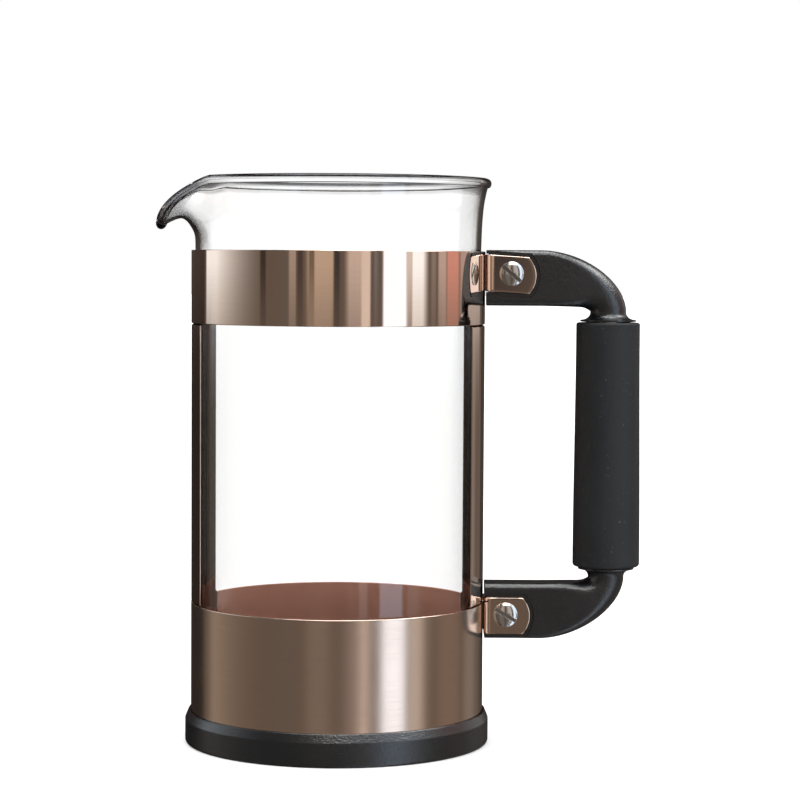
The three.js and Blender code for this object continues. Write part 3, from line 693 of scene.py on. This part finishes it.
def make_bracket(node, prefix, bracket):
    """One strip bent into a U: a base against the band and an ear on each side of the arm."""
    screw_x = screw_place(prefix)[0]
    half = bracket_line(EAR_Y - PLATE / 2 - EAR_BEND)
    bend_end = half[-1][0]
    rows = 16
    front = []
    back = []
    for row in range(rows + 1):
        t = 2 * row / rows - 1
        rise = EAR_HALF_HEIGHT * t
        tip = bracket["ear_end"] - EAR_END_R + math.sqrt(EAR_END_R**2 - rise**2)
        ear = [(blend(bend_end, tip, i / 10), EAR_Y - PLATE / 2) for i in range(1, 11)]
        side = half + ear
        line = [(x, -y) for x, y in reversed(side)] + side[1:]
        outer = []
        inner = []
        for i, (x, y) in enumerate(line):
            before = Vector(line[max(i - 1, 0)])
            after = Vector(line[min(i + 1, len(line) - 1)])
            along = (after - before).normalized()
            across = Vector((along.y, -along.x)) * PLATE / 2
            outer.append((x - across.x, y - across.y, bracket["z"] + rise))
            inner.append((x + across.x, y + across.y, bracket["z"] + rise))
        front.append(tilted(outer, bracket, screw_x))
        back.append(tilted(inner, bracket, screw_x))
    plate = sheet(node + "_plate", front, back)
    stand_for(soften(cut(plate, screw_hole(prefix)), 0.35 * MM, 50, 3, False), node, polished_copper)


def rounded_section(half_up, half_across, radius):
    """A rounded rectangle as (across, up) points. It is a circle where the radius fills it."""
    points = []
    for quarter, (sx, sz) in enumerate([(1, 1), (-1, 1), (-1, -1), (1, -1)]):
        points += arc(
            sx * (half_across - radius),
            sz * (half_up - radius),
            radius,
            quarter * math.pi / 2,
            (quarter + 1) * math.pi / 2,
            8,
        )
    return points


def arm_stations():
    """Pairs of outer and inner points down the middle plane of the upper arm, and a share 0 to 1 of the
    way from the flat slab to the round neck. Heights are measured from the middle of the handle."""
    neck_outer = GRIP_X + NECK_R
    neck_inner = GRIP_X - NECK_R
    bend_start = 71 * MM
    stations = [((x, ARM_OUTER), (x, ARM_INNER), 0)
                for x in (blend(ARM_START, bend_start, i / 6) for i in range(6))]
    inner_line = [(bend_start, ARM_INNER), (80 * MM, ARM_INNER - 0.2 * MM), (85.2 * MM, ARM_INNER - 0.5 * MM),
                  (87.3 * MM, ARM_INNER - 1.4 * MM), (neck_inner, NECK_Z)]
    fullness = 1.8
    steps = 22
    for i in range(steps + 1):
        share = i / steps
        angle = math.pi / 2 * (1 - share)
        outer = (
            bend_start + (neck_outer - bend_start) * math.cos(angle) ** (2 / fullness),
            NECK_Z + (ARM_OUTER - NECK_Z) * math.sin(angle) ** (2 / fullness),
        )
        stations.append((outer, tuple(along_curve(inner_line, share**0.8)), share))
    return stations


def make_arm(node, prefix, bracket, up):
    """A slab that bends and rounds off into a neck, then flares to a collar with a socket for the tie rod."""
    loops = []
    for outer, inner, share in arm_stations():
        top = Vector(outer)
        bottom = Vector(inner)
        middle = (top + bottom) / 2
        direction = (top - bottom).normalized()
        half = (top - bottom).length / 2
        thick = blend(ARM_HALF_THICKNESS, NECK_R, smooth_step(share))
        radius = blend(2.1 * MM, min(thick, half), smooth_step(share * 1.1))
        section = rounded_section(half, thick, radius)
        loops.append([
            (middle.x + direction.x * z, y, HANDLE_Z + up * (middle.y + direction.y * z)) for y, z in section
        ])
    collar_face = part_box("handle_grip")[1].z - HANDLE_Z + GAP
    flare_bottom = collar_face + 0.6 * MM
    rings = [(COLLAR_R + x * (COLLAR_R - NECK_R), flare_bottom + (1 - z) * FLARE_HEIGHT)
             for x, z in arc(0, 0, 1, math.pi, math.pi / 2, 8)]
    rings += [(COLLAR_R - 0.1 * MM, collar_face + 0.05 * MM), (COLLAR_R - 0.4 * MM, collar_face)]
    rings += [(SOCKET_R, collar_face), (SOCKET_R, SOCKET_END)]
    for radius, height in rings:
        section = rounded_section(radius, radius, radius)
        loops.append([(GRIP_X + z, y, HANDLE_Z + up * height) for y, z in section])
    arm = skin(node + "_body", loops, caps=True)
    screw_x = screw_place(prefix)[0]
    base_z = bracket["z"] + (screw_x - BRACKET_R) * math.tan(bracket["tilt"])
    pocket_r = BRACKET_R + PLATE / 2 + GAP
    low = base_z - EAR_HALF_HEIGHT - GAP
    high = base_z + EAR_HALF_HEIGHT + GAP
    cut(arm, turned("pocket", [(0, low), (pocket_r, low), (pocket_r, high), (0, high)]))
    outline = ear_outline(bracket, 45 * MM, RECESS_MARGIN)
    for side in (-1, 1):
        recess = extruded("recess", outline, side * RECESS_DEPTH, side * 12 * MM)
        moved = tilted([tuple(v.co) for v in recess.data.vertices], bracket, screw_x)
        recess.data.vertices.foreach_set("co", [c for point in moved for c in point])
        cut(arm, recess)
    cut(arm, screw_hole(prefix))
    stand_for(soften(arm, 0.3 * MM, 50), node, satin_black)


def make_grip():
    low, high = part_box("handle_grip")
    bottom_r = (high.x - low.x) / 2
    top_r = bottom_r - 0.6 * MM
    sides = [(blend(bottom_r, top_r, smooth_step(i / 10)), blend(low.z + 2 * MM, high.z - 2 * MM, i / 10))
             for i in range(1, 10)]
    profile = rounded(
        [(SOCKET_R, low.z), (bottom_r, low.z, 1.1 * MM)]
        + sides
        + [(top_r, high.z, 0.8 * MM), (SOCKET_R, high.z)]
    )
    stand_for(turned("grip_sleeve", profile, 96, True, (GRIP_X, 0, 0)), "handle_grip", rubber_black)


def make_screw(prefix, bracket):
    """A slotted screw with a low domed head towards the front."""
    node = prefix + "_handle_screw"
    low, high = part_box(node)
    head_r = (high.x - low.x) / 2
    head_top = -low.y
    head = head_top - 1.9 * MM
    dome = arc(0, 0, 1, 0.45, math.pi / 2, 7)
    profile = [(0, -high.y), (1.7 * MM, -high.y), (2 * MM, 0.4 * MM - high.y), (2 * MM, head)]
    profile += rounded([(2 * MM, head), (head_r, head, 0.2 * MM), (head_r, head + 0.9 * MM)])[1:]
    edge_x, edge_z = dome[0]
    for x, z in dome:
        rise = 1 + (z - edge_z) / (1 - edge_z)
        profile.append((head_r * 0.97 * x / edge_x, head + 0.95 * MM * rise))
    screw = turned(node + "_body", profile, ROUND)
    slot_floor = head_top - 0.95 * MM
    slot_top = head_top + 3 * MM
    slot_outline = [(-6 * MM, slot_top), (-6 * MM, slot_floor), (6 * MM, slot_floor), (6 * MM, slot_top)]
    slot = extruded("slot", slot_outline, -0.6 * MM, 0.6 * MM)
    slot.data.transform(Matrix.Rotation(math.radians(bracket["slot"]), 4, "Z"))
    soften(cut(screw, slot), 0.1 * MM, 40)
    x, z = screw_place(prefix)
    screw.data.transform(Matrix.Translation((x, 0, z)) @ Matrix.Rotation(math.pi / 2, 4, "X"))
    stand_for(screw, node, screw_steel)


def nut_loops(apothem, bore, bottom, top):
    """Rings of points for a hexagon nut with its corners chamfered at both ends."""
    loops = []
    below = [(0, 0, bottom), (1, 0, bottom), (1, 1, bottom)]
    above = [(1, 1, top), (1, 0, top), (0, 0, top)]
    for share, rim, height in below + above:
        loop = []
        for k in range(60):
            angle = FULL_TURN * k / 60
            corner = apothem / math.cos((angle + math.pi / 6) % (math.pi / 3) - math.pi / 6)
            radius = blend(bore, corner if rim else apothem, share)
            drop = (corner - apothem) * math.tan(math.radians(30)) if rim else 0
            z = height + drop if height == bottom else height - drop
            loop.append((radius * math.cos(angle), radius * math.sin(angle), z))
        loops.append(loop)
    return loops


def make_nut(prefix):
    node = prefix + "_handle_nut"
    low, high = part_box(node)
    apothem = (high.z - low.z) / 2
    nut = skin(node + "_body", nut_loops(apothem, 2.05 * MM, low.y, high.y), ring=True)
    x, z = screw_place(prefix)
    nut.data.transform(Matrix.Translation((x, 0, z)) @ Matrix.Rotation(-math.pi / 2, 4, "X"))
    stand_for(nut, node, screw_steel)


# ---------------------------------------------------------------- lid and plunger


FILTER_PLATE = 0.9 * MM
HUB_HOLE_R = 5.3 * MM
ROD_HOLE_R = 2.7 * MM
THREAD_R = 2.45 * MM
WINDOW_COUNT = 6
WINDOW_R = 8.5 * MM
WINDOW_DISTANCE = 23.5 * MM
SLOT_COUNT = 3
SLOT_OUTER = 32 * MM
SLOT_INNER = 19 * MM
SLOT_HALF_ANGLE = 0.8


def make_cross_plate():
    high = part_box("cross_plate")[1]
    hub = 5 * MM
    profile = rounded([
        (0, 0),
        (high.x - PLUNGER_X, 0, 0.3 * MM),
        (high.x - PLUNGER_X, FILTER_PLATE, 0.3 * MM),
        (hub, FILTER_PLATE, 0.4 * MM),
        (hub, high.z, 0.2 * MM),
        (0, high.z),
    ])
    disc = turned("cross_plate_disc", profile, RING, centre=(PLUNGER_X, 0, 0))
    for i in range(WINDOW_COUNT):
        angle = FULL_TURN * (i + 0.5) / WINDOW_COUNT
        centre = (PLUNGER_X + WINDOW_DISTANCE * math.cos(angle), WINDOW_DISTANCE * math.sin(angle), 0)
        cylinder = [(0, -MM), (WINDOW_R, -MM), (WINDOW_R, 2 * MM), (0, 2 * MM)]
        cut(disc, turned("window", cylinder, ROUND, centre=centre))
    stand_for(disc, "cross_plate", plunger_steel)


def make_mesh_filter():
    low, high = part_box("mesh_filter")
    radius = high.x - PLUNGER_X
    profile = rounded([
        (HUB_HOLE_R, low.z),
        (radius, low.z, 0.25 * MM),
        (radius, high.z, 0.25 * MM),
        (HUB_HOLE_R, high.z),
    ])
    disc = turned("filter_mesh", profile, RING, True, (PLUNGER_X, 0, 0))
    stand_for(disc, "mesh_filter", filter_weave)


def make_spiral_plate():
    """A disc with an upturned rim and three curved slots."""
    low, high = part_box("spiral_plate")
    rim = high.x - PLUNGER_X
    top = low.z + FILTER_PLATE
    profile = rounded([
        (ROD_HOLE_R, low.z),
        (rim, low.z, 0.8 * MM),
        (rim, high.z, 0.3 * MM),
        (rim - FILTER_PLATE, high.z, 0.3 * MM),
        (rim - FILTER_PLATE, top, 0.3 * MM),
        (ROD_HOLE_R, top),
    ])
    disc = turned("spiral_plate_disc", profile, RING, True, (PLUNGER_X, 0, 0))
    for i in range(SLOT_COUNT):
        angles = [FULL_TURN * i / SLOT_COUNT + SLOT_HALF_ANGLE * (k / 8 - 1) for k in range(17)]
        edge = [(SLOT_OUTER, a) for a in angles] + [(SLOT_INNER, a) for a in reversed(angles)]
        loops = [
            [(PLUNGER_X + r * math.cos(a), r * math.sin(a), z) for r, a in edge]
            for z in (low.z - MM, top + MM)
        ]
        cut(disc, skin("window", loops, caps=True))
    stand_for(disc, "spiral_plate", plunger_steel)


def make_edge_spring():
    """A fine coil bent into a ring round the filter."""
    low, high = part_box("edge_spring")
    coil_r = (high.z - low.z) / 2 - 0.25 * MM
    ring_r = high.x - PLUNGER_X - (high.z - low.z) / 2
    height = (low.z + high.z) / 2
    wire = 0.24 * MM
    turns = 210
    steps = 12
    loops = []
    for i in range(turns * steps):
        swing = FULL_TURN * i / (turns * steps)
        coil = FULL_TURN * i / steps
        outward = Vector((math.cos(swing), math.sin(swing), 0))
        round_the_ring = Vector((-math.sin(swing), math.cos(swing), 0))
        spoke = outward * math.cos(coil) + Vector((0, 0, math.sin(coil)))
        middle = outward * ring_r + Vector((PLUNGER_X, 0, height)) + spoke * coil_r
        loops.append([
            tuple(middle + wire * (spoke * math.cos(a) + round_the_ring * math.sin(a)))
            for a in (FULL_TURN * k / 6 for k in range(6))
        ])
    stand_for(skin("edge_spring_coil", loops, ring=True), "edge_spring", plunger_steel)


def make_rod():
    low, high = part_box("plunger_rod")
    radius = (high.x - low.x) / 2
    profile = rounded([(0, low.z), (radius, low.z, 0.4 * MM), (radius, high.z, 0.4 * MM), (0, high.z)])
    rod = turned("plunger_rod_body", profile, ROUND, centre=(PLUNGER_X, 0, 0))
    stand_for(rod, "plunger_rod", plunger_steel)


def make_lock_nut():
    low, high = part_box("filter_lock_nut")
    nut = skin("filter_lock_nut_body", nut_loops((high.y - low.y) / 2, THREAD_R, low.z, high.z), ring=True)
    nut.data.transform(Matrix.Translation((PLUNGER_X, 0, 0)))
    stand_for(nut, "filter_lock_nut", plunger_steel)


def make_knob():
    """A ball flattened from above, on a short neck."""
    low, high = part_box("plunger_knob")
    radius = (high.x - low.x) / 2
    half_height = radius * 0.72
    middle = high.z - half_height
    ball = [(radius * x, middle + half_height * z) for x, z in arc(0, 0, 1, -0.95, math.pi / 2, 28)]
    bore_end = high.z - 11 * MM
    profile = [(THREAD_R, bore_end), (THREAD_R, low.z)]
    profile += rounded([(THREAD_R, low.z), (6.5 * MM, low.z, 0.5 * MM), (7 * MM, low.z + 2.4 * MM, 1 * MM),
                        ball[0]])[1:-1]
    knob = turned("plunger_knob_ball", [(0, bore_end)] + profile + ball, 96, centre=(PLUNGER_X, 0, 0))
    stand_for(knob, "plunger_knob", knob_black)


DOME_R = 50.5 * MM
LID_WALL = 0.9 * MM
LID_BORE = 5.3 * MM


def dome_height(radius, rise):
    """Height of the dome's underside above the flange at a radius."""
    sphere = (DOME_R**2 + rise**2) / (2 * rise)
    return rise - sphere + math.sqrt(sphere**2 - radius**2)


def make_lid_dome():
    low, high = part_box("lid_dome")
    edge = 0.8 * MM
    outer = high.x - PLUNGER_X
    rise = 15 * MM
    radii = [blend(LID_BORE, DOME_R, i / 24) for i in range(25)]
    profile = [(r, low.z + dome_height(r, rise) + LID_WALL) for r in radii]
    profile += [(DOME_R + 0.8 * MM, low.z + LID_WALL), (outer - 2.2 * MM, low.z + LID_WALL)]
    profile += arc(outer - edge, low.z + edge, edge, 2.6, -math.pi / 2, 12)
    profile += [(r, low.z + dome_height(r, rise)) for r in reversed(radii)]
    stand_for(turned("lid_dome_shell", profile, RING, True, (PLUNGER_X, 0, 0)), "lid_dome", lid_copper, 40)


def make_splash_guard():
    low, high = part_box("lid_splash_guard")
    outer = high.x - PLUNGER_X
    wall = 0.8 * MM
    profile = rounded([
        (LID_BORE, high.z),
        (outer, high.z, 2 * MM),
        (outer, low.z, 0.3 * MM),
        (outer - wall, low.z, 0.3 * MM),
        (outer - wall, high.z - wall, 1.3 * MM),
        (LID_BORE, high.z - wall),
    ])
    guard = turned("splash_guard_shell", profile, RING, True, (PLUNGER_X, 0, 0))
    stand_for(guard, "lid_splash_guard", plunger_steel)


def make_bush():
    low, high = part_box("lid_bush")
    head = (high.x - low.x) / 2
    profile = rounded([
        (ROD_HOLE_R, low.z),
        (5 * MM, low.z, 0.3 * MM),
        (5 * MM, high.z - 1.6 * MM),
        (head, high.z - 1.6 * MM, 0.3 * MM),
        (head, high.z, 0.7 * MM),
        (ROD_HOLE_R, high.z, 0.3 * MM),
    ])
    stand_for(turned("lid_bush_body", profile, ROUND, True, (PLUNGER_X, 0, 0)), "lid_bush", knob_black)


# ---------------------------------------------------------------- studio

# Soft cards round the press, as the copper and the glass see them. Each is (from, to, soft edge at the
# start, soft edge at the end, lowest elevation, colour), in degrees. Azimuth 0 is behind the camera and
# +90 is to the right. Later cards cover earlier ones.
ROOM = colour(0.17, 0.14, 0.12)
CARDS = [
    (-182, -125, 1, 1.5, -90, colour(0.03, 0.024, 0.022)),
    (-182, -125, 1, 1.5, -4, colour(0.075, 0.058, 0.052)),
    (-119, -52, 5, 56, -90, colour(0.38, 0.33, 0.28)),
    (-124, -52, 1.5, 56, -4, colour(1.35, 1.48, 1.6)),
    (-62, -55, 1.5, 1.5, -4, colour(0.06, 0.045, 0.04)),
    (-56, -30, 16, 2, -90, colour(0.17, 0.145, 0.13)),
    (-38, -30.5, 2, 1, -4, colour(0.5, 0.43, 0.38)),
    (-30.5, -25, 1, 1, -4, colour(0.09, 0.07, 0.065)),
    (-25, -3, 5, 1.5, -90, colour(0.27, 0.23, 0.2)),
    (-25, -1.5, 5, 1, -4, colour(0.7, 0.58, 0.47)),
    (-21.5, -16, 1, 1, -4, colour(0.22, 0.17, 0.13)),
    (-2.5, 4, 1.5, 2, -4, colour(0.06, 0.055, 0.06)),
    (5, 27, 5, 1.5, -90, colour(0.3, 0.26, 0.24)),
    (5, 27, 5, 1.5, -4, colour(0.78, 0.68, 0.63)),
    (18, 27, 2, 1.5, -90, colour(0.95, 0.86, 0.8)),
    (28, 34, 1.5, 3, -4, colour(0.24, 0.24, 0.26)),
    (35, 58, 2, 3, -90, colour(1.6, 1.85, 2.2)),
    (54.5, 62, 1, 1, -4, colour(0.95, 0.93, 0.92)),
    (60, 77, 1, 7, -90, colour(0.72, 0.66, 0.6)),
    (60, 77, 1, 7, -4, colour(1.5, 1.7, 1.9)),
    (76, 85, 3, 3, -4, colour(0.34, 0.3, 0.28)),
    (84, 116, 6, 5, -90, colour(0.27, 0.215, 0.18)),
    (84, 95, 2, 2, -4, colour(0.68, 0.58, 0.55)),
    (92, 112, 4, 4, -4, colour(0.85, 0.43, 0.37)),
    (110, 124, 2, 2, -4, colour(0.62, 0.48, 0.45)),
    (119, 144, 2, 8, -90, colour(0.3, 0.27, 0.25)),
    (119, 150, 2, 3, -4, colour(0.8, 0.76, 0.73)),
    (152, 182, 2, 1, -90, colour(0.07, 0.06, 0.055)),
]
# Soft boxes overhead: (from, to, lowest, highest, soft edge, colour), in degrees.
BOXES = [
    (-200, 200, 42, 101, 10, colour(0.2, 0.2, 0.2)),
    (-200, 200, 64, 101, 6, colour(6.5, 6.5, 6.5)),
    (50, 120, 30, 64, 8, colour(8, 8, 8)),
    (-20, 45, 36, 64, 10, colour(7, 7, 7)),
]


def window(tree, value, start, end, soft_start, soft_end):
    """1 between start and end, falling to 0 over the soft edges inside them."""
    rise = maths(tree, "DIVIDE", maths(tree, "SUBTRACT", value, start), soft_start, clamp=True)
    fall = maths(tree, "DIVIDE", maths(tree, "SUBTRACT", end, value), soft_end, clamp=True)
    both = maths(tree, "MULTIPLY", rise, fall)
    return maths(tree, "MULTIPLY", both, both)


def surround(tree):
    """The colour of the cards and the ceiling in the direction of a ray."""
    direction = add(tree, "SeparateXYZ", {0: add(tree, "TexCoord", {}).outputs["Generated"]})
    x, y, z = direction.outputs
    azimuth = maths(tree, "DEGREES", maths(tree, "ARCTAN2", x, maths(tree, "MULTIPLY", y, -1)))
    elevation = maths(tree, "DEGREES", maths(tree, "ARCSINE", z))
    shade = add(tree, "RGB", {}).outputs[0]
    shade.default_value = ROOM
    for start, end, soft_start, soft_end, lowest, tint in CARDS:
        share = window(tree, azimuth, start, end, soft_start, soft_end)
        if lowest > -90:
            share = maths(tree, "MULTIPLY", share, window(tree, elevation, lowest, 90, 4, 1))
        shade = mixed(tree, share, shade, tint)
    streaks = noise(tree, add(tree, "CombineXYZ", {0: azimuth}).outputs[0], 0.4, 4.0, 0.7)
    shade = mixed(tree, spread(tree, streaks, 0.0, 0.2), shade, colour(0, 0, 0))
    for start, end, lowest, highest, soft, tint in BOXES:
        across = window(tree, azimuth, start, end, soft, soft)
        upward = window(tree, elevation, lowest, highest, soft, soft)
        shade = mixed(tree, maths(tree, "MULTIPLY", across, upward), shade, tint)
    return shade


def make_world():
    """White for the camera. Through the glass it is a little brighter, to make up for what the walls
    reflect, and dark overhead. Reflections see the cards, and scattered light sees white, brighter
    overhead."""
    world = bpy.data.worlds.new("studio")
    bpy.context.scene.world = world
    world.use_nodes = True
    tree = world.node_tree
    path = add(tree, "LightPath", {})
    reflected = maths(tree, "GREATER_THAN", path.outputs["Glossy Depth"], 0.5)
    upwards = add(tree, "SeparateXYZ", {0: add(tree, "TexCoord", {}).outputs["Generated"]}).outputs[2]
    # overhead begins at 17 degrees up and is complete at 39
    above = maths(tree, "MULTIPLY_ADD", upwards, 3.0, -0.9, clamp=True)
    through_glass = path.outputs["Is Transmission Ray"]
    backdrop = mixed(tree, through_glass, colour(1, 1, 1), colour(1.18, 1.18, 1.18))
    overhead = maths(tree, "MULTIPLY", through_glass, above)
    backdrop = mixed(tree, overhead, backdrop, colour(0.08, 0.08, 0.08))
    seen = mixed(tree, reflected, backdrop, surround(tree))
    scattered = maths(tree, "GREATER_THAN", path.outputs["Diffuse Depth"], 0.5)
    soft_light = mixed(tree, above, colour(1, 1, 1), colour(1.9, 1.9, 1.9))
    shade = mixed(tree, scattered, seen, soft_light)
    tree.links.new(shade, tree.nodes["Background"].inputs["Color"])


def make_floor():
    material, tree, shader = surface("pale_floor", Roughness=0.9, Specular_IOR_Level=0.0)
    mottle = noise(tree, place(tree), 3.0, 2.0)
    tint = mixed(tree, mottle, colour(0.965, 0.965, 0.965), colour(0.975, 0.975, 0.975))
    tree.links.new(tint, shader.inputs["Base Color"])
    mesh = bpy.data.meshes.new("floor")
    half = 12
    corners = [(-half, -half, 0), (half, -half, 0), (half, half, 0), (-half, half, 0)]
    mesh.from_pydata(corners, [], [(0, 1, 2, 3)])
    mesh.materials.append(material)
    floor = bpy.data.objects.new("floor", mesh)
    floor.visible_glossy = False
    floor.visible_transmission = False
    bpy.context.scene.collection.objects.link(floor)


def make_lights():
    """One broad soft light from the upper right, to give the shapes a lit and a shaded side."""
    data = bpy.data.lights.new("key", "AREA")
    data.shape = "RECTANGLE"
    data.size = 0.9
    data.size_y = 1.2
    data.energy = 5
    key = bpy.data.objects.new("key", data)
    key.location = (0.9, -0.9, 1.2)
    key.rotation_euler = (Vector((0, 0, 0.1)) - key.location).to_track_quat("-Z", "Y").to_euler()
    key.visible_glossy = False
    bpy.context.scene.collection.objects.link(key)


def make_camera():
    """A long lens level with the upper band, a step round towards the handle."""
    orbit = math.radians(1.8)
    distance = 0.881
    turn = math.radians(0.39)
    down = math.radians(3.12)
    roll = math.radians(0.33)
    data = bpy.data.cameras.new("camera")
    data.sensor_width = 36
    data.lens = 113.4
    data.clip_start = 0.01
    camera = bpy.data.objects.new("camera", data)
    position = Matrix.Translation((distance * math.sin(orbit), -distance * math.cos(orbit), 0.1677))
    heading = Matrix.Rotation(turn, 4, "Z") @ Matrix.Rotation(math.pi / 2 - down, 4, "X")
    camera.matrix_world = position @ heading @ Matrix.Rotation(roll, 4, "Z")
    bpy.context.scene.collection.objects.link(camera)
    bpy.context.scene.camera = camera


make_camera()
make_world()
make_floor()
make_lights()
make_beaker()
make_band("upper_band", polished_copper)
make_band("lower_band", brushed_copper)
make_strap("handle_side_strap", 0)
make_strap("spout_side_strap", math.pi)
make_foot()
for prefix, bracket, up in (("upper", UPPER, 1), ("lower", LOWER, -1)):
    make_bracket(prefix + "_handle_bracket", prefix, bracket)
    make_arm(prefix + "_handle_arm", prefix, bracket, up)
    make_screw(prefix, bracket)
    make_nut(prefix)
make_grip()
frame["nodes"]["handle_tie_rod"].data.materials.clear()
frame["nodes"]["handle_tie_rod"].data.materials.append(screw_steel)
make_cross_plate()
make_mesh_filter()
make_spiral_plate()
make_edge_spring()
make_rod()
make_lock_nut()
make_knob()
make_lid_dome()
make_splash_guard()
make_bush()

scene = bpy.context.scene
scene.view_settings.view_transform = "Standard"
scene.cycles.max_bounces = 32
scene.cycles.transmission_bounces = 24
scene.cycles.glossy_bounces = 16
